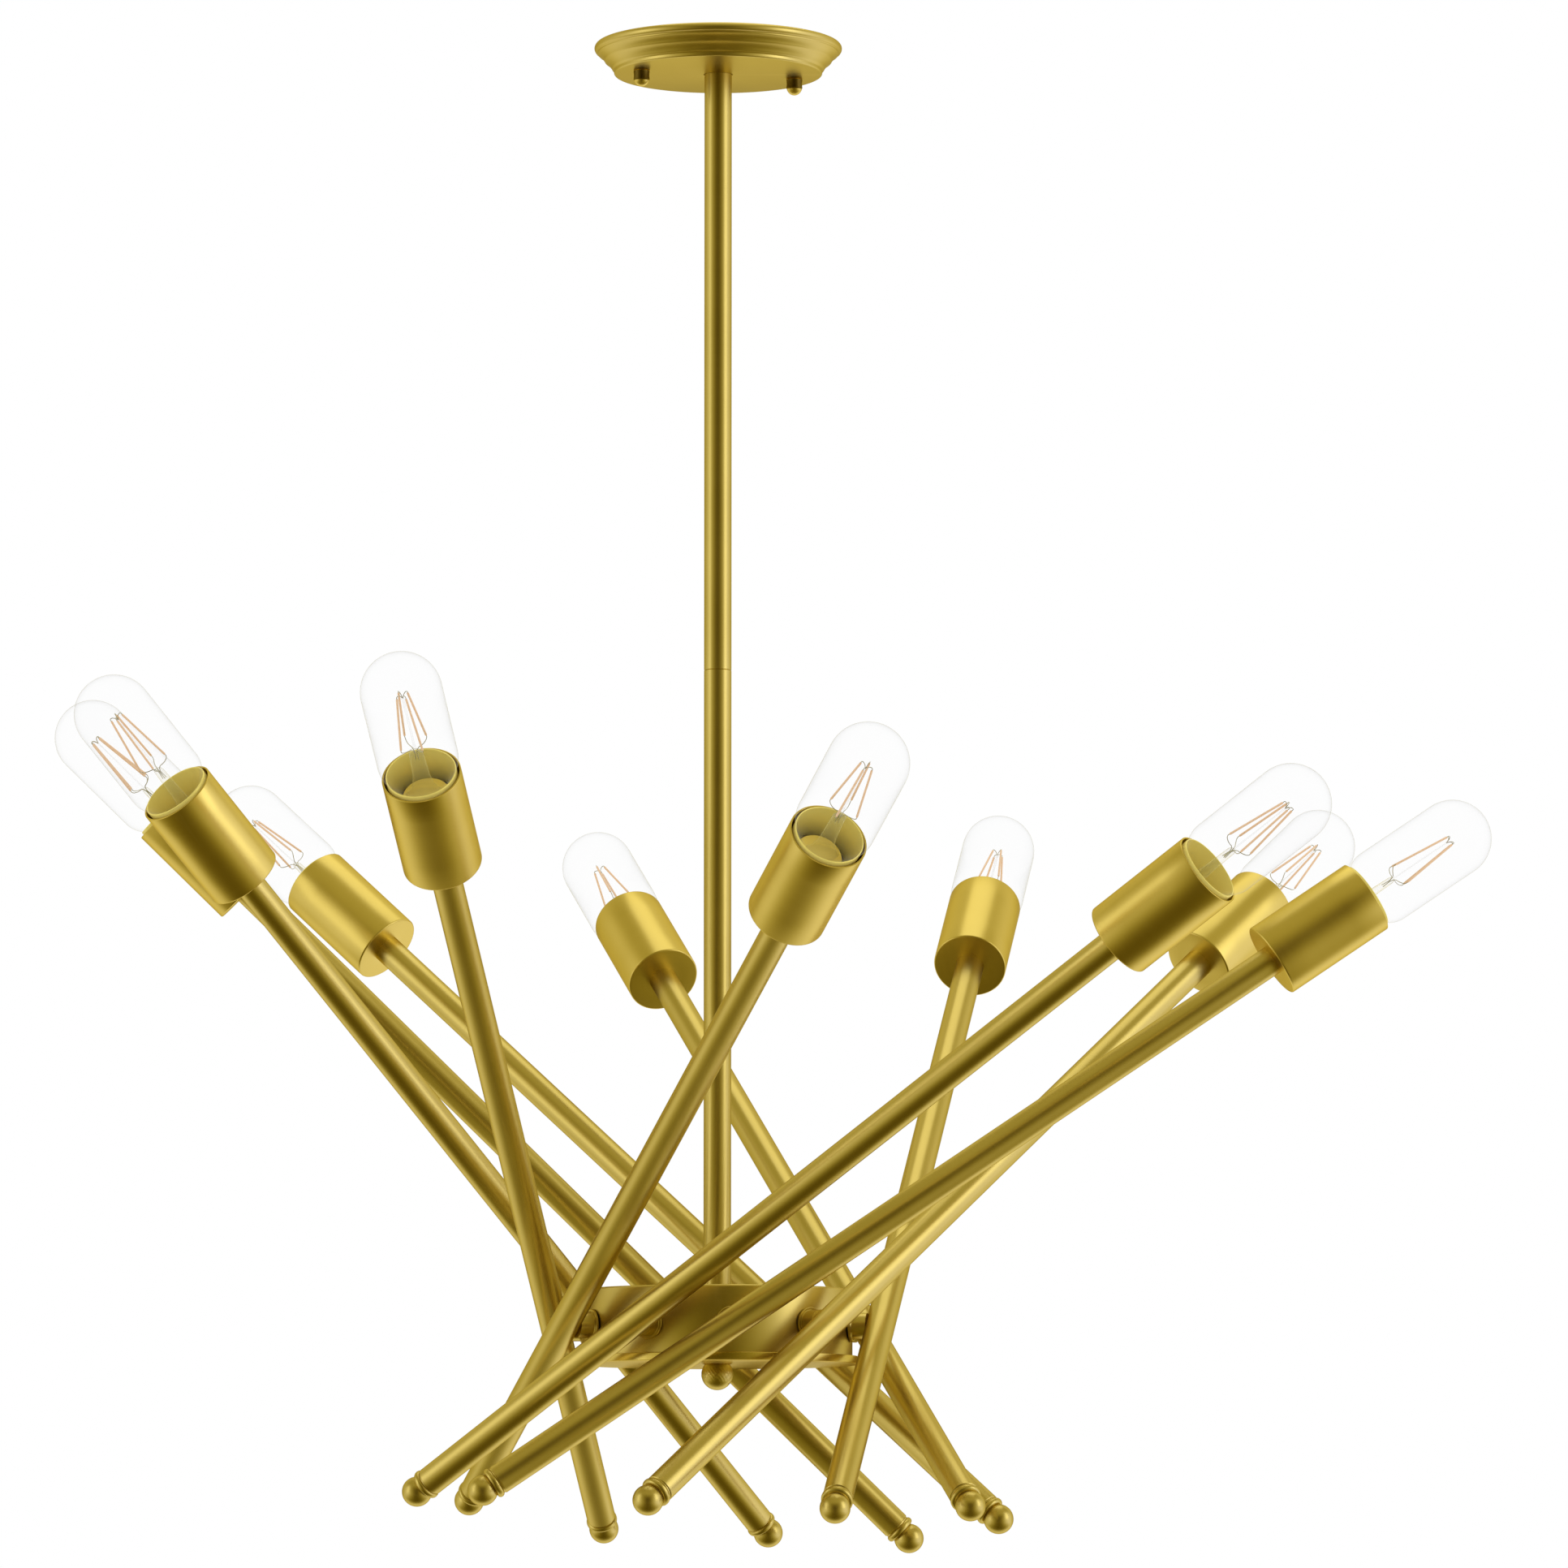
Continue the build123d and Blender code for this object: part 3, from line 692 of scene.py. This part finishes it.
bulbSize = {"r": 22.5, "neckR": 12.8, "capTop": 425.5, "neckTop": 428.5, "shoulderTop": 451.5,
            "domeAt": 501.0, "seat": 0.4, "sides": 72,
            "capFoot": 399.1, "capR": 13.1, "threadDepth": 0.55, "threadDrop": 5.0, "pitch": 3.6,
            "tipR": 4.5, "tip": 1.4, "cone": 3.2, "insulatorR": 9.0, "capSides": 40,
            "mountTop": 458.5, "mountSides": 24, "pinch": (1.15, 0.55, 1),
            "mountFoot": ((9.6, 0.1), (9.9, 0.8), (7.0, 4.0), (5.2, 8.0), (4.3, 14.0)),      # up from the cap
            "mountPress": ((3.9, -10.0), (3.7, -6.0), (3.5, -1.5), (2.9, -0.3), (1.4, 0.0), (0.75, 1.0), (0.6, 6.0)),
            "mountRod": ((0.6, -4.0), (0.9, -2.0), (0.7, -1.2), (0, -1.0)),      # from the filaments' heads
            "filamentFoot": 463.5, "filamentHead": 498.5, "footR": 8.6, "headR": 3.6,
            "filamentR": 0.62, "wireR": 0.22}


def glassSide(s):
    # outline of the glass from the neck to just under the pole
    flare = s["r"] - s["neckR"]
    rise = s["shoulderTop"] - s["neckTop"]
    bend = (flare ** 2 + rise ** 2) / (4 * flare)
    lean = 180 - degrees(asin(rise / (2 * bend)))
    side = [(s["neckR"], s["capTop"])]
    side += arc(s["neckR"] + bend, s["neckTop"], bend, 180, lean, 8)
    side += arc(s["r"] - bend, s["shoulderTop"], bend, lean - 180, 0, 8)[1:]
    side += [(s["r"], s["shoulderTop"] + (s["domeAt"] - s["shoulderTop"]) * k / 4) for k in range(1, 4)]
    side += arc(0, s["domeAt"], s["r"], 0, 90, 18)[:-1]
    return side


def makeBulbGlass(s):
    # one skin: its look is set by the angle to the eye, so an inner wall would only be drawn twice
    foot = s["capTop"] - s["seat"]
    rings = [(0, s["domeAt"] + s["r"])] + glassSide(s)[::-1] + [(s["neckR"] - s["seat"], foot), (0, foot)]
    return turned("bulbGlass", rings, s["sides"], 60)


def makeScrewCap(s):
    coneFoot = s["capFoot"] + s["tip"]
    shellFoot = coneFoot + s["cone"]
    threadTop = s["capTop"] - s["threadDrop"]
    rings = [(0, s["capFoot"]), (s["tipR"] - 1.0, s["capFoot"] + 0.15), (s["tipR"], coneFoot),
             (s["insulatorR"], coneFoot + 0.1), (s["capR"] - 0.9, shellFoot)]
    steps = int((threadTop - shellFoot) / s["pitch"] * 7)
    rings += [(s["capR"] - 0.5, shellFoot + (threadTop - shellFoot) * k / steps) for k in range(1, steps + 1)]
    rings += [(s["capR"] - 0.1, threadTop + 0.8), (s["capR"], s["capTop"] - 0.5),
              (s["capR"] - 0.3, s["capTop"]), (0, s["capTop"])]
    cap = turned("bulbScrewCap", rings, s["capSides"], 50)
    for vertex in cap.data.vertices:      # the thread climbs one pitch in each turn
        z = vertex.co.z / mm
        if shellFoot + 0.3 < z < threadTop + 0.1:
            turn = Vector(vertex.co.xy).angle_signed(Vector((1, 0)), 0) / (2 * pi)
            wave = cos(2 * pi * (z / s["pitch"] + turn))
            k = (s["capR"] - s["threadDepth"] + s["threadDepth"] * wave) / (s["capR"] - 0.5)
            vertex.co.x, vertex.co.y = vertex.co.x * k, vertex.co.y * k
    finishMesh(cap, 50)
    return cap


def makeMount(s):
    rings = [(0, s["capTop"] + s["mountFoot"][0][1])]
    for part, level in (("mountFoot", s["capTop"]), ("mountPress", s["mountTop"]), ("mountRod", s["filamentHead"])):
        rings += [(r, level + up) for r, up in s[part]]
    mount = turned("bulbMount", rings, s["mountSides"], 70)
    pickOnly(mount)
    for vertex in mount.data.vertices:    # the top of the mount is pinched flat round the wires
        vertex.select = s["mountTop"] - 11.0 < vertex.co.z / mm < s["mountTop"] + 0.5
    bpy.ops.object.mode_set(mode="EDIT")
    bpy.ops.mesh.select_mode(type="VERT")
    bpy.ops.transform.resize(value=s["pinch"], center_override=(0, 0, s["mountTop"] * mm))
    bpy.ops.object.mode_set(mode="OBJECT")
    finishMesh(mount, 70)
    return mount


def filamentSpots(s):
    spots = []
    for k in range(4):
        turn = radians(45 + 90 * k)
        spots.append(((s["footR"] * cos(turn), s["footR"] * sin(turn), s["filamentFoot"]),
                      (s["headR"] * cos(turn), s["headR"] * sin(turn), s["filamentHead"])))
    return spots


def makeFilaments(s):
    rods = []
    for foot, head in filamentSpots(s):
        way = Vector(head) - Vector(foot)
        rod = turned("filament", [(0, 0), (s["filamentR"] * 0.7, 0.1), (s["filamentR"], 0.6),
                                  (s["filamentR"], way.length - 0.6), (s["filamentR"] * 0.7, way.length - 0.1),
                                  (0, way.length)], 12, 60)
        lean = way.to_track_quat("Z", "Y").to_matrix().to_4x4()
        rods.append(moved(rod, Matrix.Translation(Vector(foot) * mm) @ lean))
    return joined("bulbFilaments", rods)


def makeWires(s):
    wires = []
    press = s["mountTop"]
    for (fx, fy, fz), (hx, hy, hz) in filamentSpots(s):
        lead = [(fx * 0.15, fy * 0.1, press - 7.0), (fx * 0.2, fy * 0.12, press + 0.2),
                (fx * 0.75, fy * 0.6, fz - 3.4), (fx, fy, fz - 1.4), (fx, fy, fz + 0.4)]
        hook = [(0, 0, hz - 1.8), (hx * 0.5, hy * 0.5, hz + 1.0), (hx * 0.95, hy * 0.95, hz + 1.2),
                (hx, hy, hz - 0.3)]
        wires += [wire("lead", lead, s["wireR"]), wire("hook", hook, s["wireR"])]
    return joined("bulbWires", wires)


for master, look, slotName, node in ((makeBulbGlass(bulbSize), clearGlass, "glass", "bulb_glass_"),
                                     (makeScrewCap(bulbSize), capMetal, "cap_metal", "bulb_cap_"),
                                     (makeMount(bulbSize), pressGlass, "glass", "bulb_cap_"),
                                     (makeFilaments(bulbSize), phosphor, "cap_metal", "bulb_cap_"),
                                     (makeWires(bulbSize), wireMetal, "cap_metal", "bulb_cap_")):
    setOut(master, look, "bulb_", node)
print("bulbs made")


# studio: a white surround with a graded room for reflections, a pale floor, soft lamps and the camera

studio = {"floorZ": -2.4, "floorR": 14.0, "fadeFrom": 3.0, "fadeTo": 9.0, "whiteness": 1.0, "shadeLevel": 0.75,
          "sides": ((0.0, 0.11), (0.15, 0.13), (0.33, 0.24), (0.5, 0.42), (0.66, 0.64), (0.82, 0.95), (1.0, 1.2)),
          "floorward": 2.0, "skyward": 1.3, "aboveLevel": 0.58, "aboveFrom": 0.12, "aboveTo": 0.7,
          "behind": ((0.0, 0.0), (0.25, 0.3), (0.5, 0.85), (0.8, 1.05), (1.0, 0.86)),
          "height": ((0.0, 1.0), (0.3, 1.05), (0.48, 0.74), (0.56, 0.74), (0.7, 0.82), (1.0, 0.78)),
          "sideLean": 0.12, "warmth": (1.0, 1.14, 2.6), "tint": (1.0, 0.95, 0.93)}


def rampOf(tree, value, stops):
    ramp = addNode(tree, "ShaderNodeValToRGB", {"Fac": value})
    marks = ramp.color_ramp.elements
    while len(marks) < len(stops):
        marks.new(0.5)
    for mark, (at, level) in zip(marks, stops):
        mark.position = at
        mark.color = (level, level, level, 1)
    return ramp.outputs["Color"]


def makeWorld(s):
    world = bpy.data.worlds.new("studioWorld")
    bpy.context.scene.world = world
    world.use_nodes = True
    tree = world.node_tree
    tree.nodes.clear()
    way = addNode(tree, "ShaderNodeSeparateXYZ", {0: addNode(tree, "ShaderNodeTexCoord").outputs["Generated"]})
    x, y, z = (way.outputs[axis] for axis in "XYZ")
    # the metal mirrors a room that is darkest round the middle plane and light on both sides
    tallZ = sums(tree, "MAXIMUM", sums(tree, "MULTIPLY", z, s["skyward"]),
                 sums(tree, "MULTIPLY", z, -s["floorward"]))
    stretch = addNode(tree, "ShaderNodeCombineXYZ", {"X": x, "Y": y, "Z": tallZ}).outputs[0]
    reach = addNode(tree, "ShaderNodeVectorMath", {0: stretch}, operation="LENGTH").outputs["Value"]
    side = sums(tree, "DIVIDE", sums(tree, "ABSOLUTE", x), reach)
    band = rampOf(tree, side, s["sides"])
    above = stretched(tree, z, s["aboveFrom"], s["aboveTo"], 0.0, s["aboveLevel"])
    behind = rampOf(tree, stretched(tree, y, -0.15, 1.0, 0.0, 1.0), s["behind"])
    tall = rampOf(tree, stretched(tree, z, -1.0, 1.0, 0.0, 1.0), s["height"])
    lean = stretched(tree, x, -1.0, 1.0, 1.0 - s["sideLean"], 1.0 + s["sideLean"])
    glow = sums(tree, "MULTIPLY", sums(tree, "MAXIMUM", sums(tree, "MAXIMUM", band, above), behind),
                sums(tree, "MULTIPLY", tall, lean))
    rays = addNode(tree, "ShaderNodeLightPath").outputs
    seen = sums(tree, "MAXIMUM", rays["Is Camera Ray"], rays["Is Transmission Ray"])
    # the shaded side of the room is warm, so dark reflections in the metal stay golden brown
    warm = [sums(tree, "MULTIPLY", sums(tree, "POWER", glow, power), tint)
            for power, tint in zip(s["warmth"], s["tint"])]
    room = addNode(tree, "ShaderNodeCombineXYZ", {"X": warm[0], "Y": warm[1], "Z": warm[2]}).outputs[0]
    grey, white = ((level, level, level, 1) for level in (s["shadeLevel"], s["whiteness"]))
    mirrored = addNode(tree, "ShaderNodeMix", {"Factor": rays["Is Glossy Ray"], "A": grey, "B": room},
                       data_type="RGBA").outputs["Result"]
    shown = addNode(tree, "ShaderNodeMix", {"Factor": seen, "A": mirrored, "B": white},
                    data_type="RGBA").outputs["Result"]
    back = addNode(tree, "ShaderNodeBackground", {"Color": shown, "Strength": 1.0})
    out = addNode(tree, "ShaderNodeOutputWorld")
    tree.links.new(back.outputs[0], out.inputs["Surface"])


def makeFloor(s):
    dropSelection()
    bpy.ops.mesh.primitive_circle_add(vertices=96, radius=s["floorR"], fill_type="NGON",
                                      location=(0, 0, s["floorZ"]))
    floor = bpy.context.object
    floor.name = "studioFloor"
    bpy.ops.object.transform_apply(location=True)
    material, tree, shader = newMaterial("paleFloor")
    place = addNode(tree, "ShaderNodeTexCoord").outputs["Object"]
    speck = addNode(tree, "ShaderNodeTexNoise", {"Vector": place, "Scale": 3.0, "Detail": 5.0}).outputs["Fac"]
    tone = addNode(tree, "ShaderNodeMix", {"Factor": speck, "A": (0.86, 0.86, 0.86, 1), "B": (0.9, 0.9, 0.9, 1)},
                   data_type="RGBA")
    tree.links.new(tone.outputs["Result"], shader.inputs["Base Color"])
    shader.inputs["Roughness"].default_value = 0.8
    flat = addNode(tree, "ShaderNodeVectorMath", {0: place, 1: (1, 1, 0)}, operation="MULTIPLY").outputs["Vector"]
    far = addNode(tree, "ShaderNodeVectorMath", {0: flat}, operation="LENGTH").outputs["Value"]
    fade = stretched(tree, far, s["fadeFrom"], s["fadeTo"], 0.0, 1.0)
    white = addNode(tree, "ShaderNodeEmission", {"Color": (1, 1, 1, 1), "Strength": 1.0})
    blend = addNode(tree, "ShaderNodeMixShader", {0: fade, 1: shader.outputs[0], 2: white.outputs[0]})
    clear = addNode(tree, "ShaderNodeBsdfTransparent")
    under = addNode(tree, "ShaderNodeNewGeometry").outputs["Backfacing"]
    whole = addNode(tree, "ShaderNodeMixShader", {0: under, 1: blend.outputs[0], 2: clear.outputs[0]})
    out = next(node for node in tree.nodes if node.type == "OUTPUT_MATERIAL")
    tree.links.new(whole.outputs[0], out.inputs["Surface"])
    floor.data.materials.append(material)
    floor.visible_glossy = False


lampAim = (0, 0, -0.55)
lamps = {"keyLamp": {"at": (2.9, -1.2, 0.3), "size": (1.3, 2.4), "power": 9.0},
         "fillLamp": {"at": (-2.9, -1.0, -0.1), "size": (1.2, 2.4), "power": 5.0},
         "topLamp": {"at": (0.2, 0.6, 1.6), "size": (1.6, 1.6), "power": 6.0}}


def makeLamps(settings):
    aim = Vector(lampAim)
    for name, s in settings.items():
        lamp = bpy.data.lights.new(name, "AREA")
        lamp.shape = "RECTANGLE"
        lamp.size, lamp.size_y = s["size"]
        lamp.energy = s["power"]
        holder = bpy.data.objects.new(name, lamp)
        holder.location = s["at"]
        holder.rotation_euler = (aim - Vector(s["at"])).to_track_quat("-Z", "Y").to_euler()
        bpy.context.scene.collection.objects.link(holder)


view = {"at": (0.00035, -5.0446, -0.9456), "yawDeg": 0.435, "pitchDeg": 5.762, "focalPx": 10725.0,
        "imagePx": 1932.0, "sensor": 36.0, "reach": 60.0}


def makeCamera(s):
    lens = bpy.data.cameras.new("viewCamera")
    lens.sensor_width = s["sensor"]
    lens.lens = s["focalPx"] / s["imagePx"] * s["sensor"]
    lens.clip_end = s["reach"]
    camera = bpy.data.objects.new("viewCamera", lens)
    yaw, pitch = radians(s["yawDeg"]), radians(s["pitchDeg"])
    look = Vector((sin(yaw) * cos(pitch), cos(yaw) * cos(pitch), sin(pitch)))
    camera.location = s["at"]
    camera.rotation_euler = look.to_track_quat("-Z", "Y").to_euler()
    bpy.context.scene.collection.objects.link(camera)
    bpy.context.scene.camera = camera


makeWorld(studio)
makeFloor(studio)
makeLamps(lamps)
makeCamera(view)
bpy.context.scene.view_settings.view_transform = "Standard"
print("studio made")
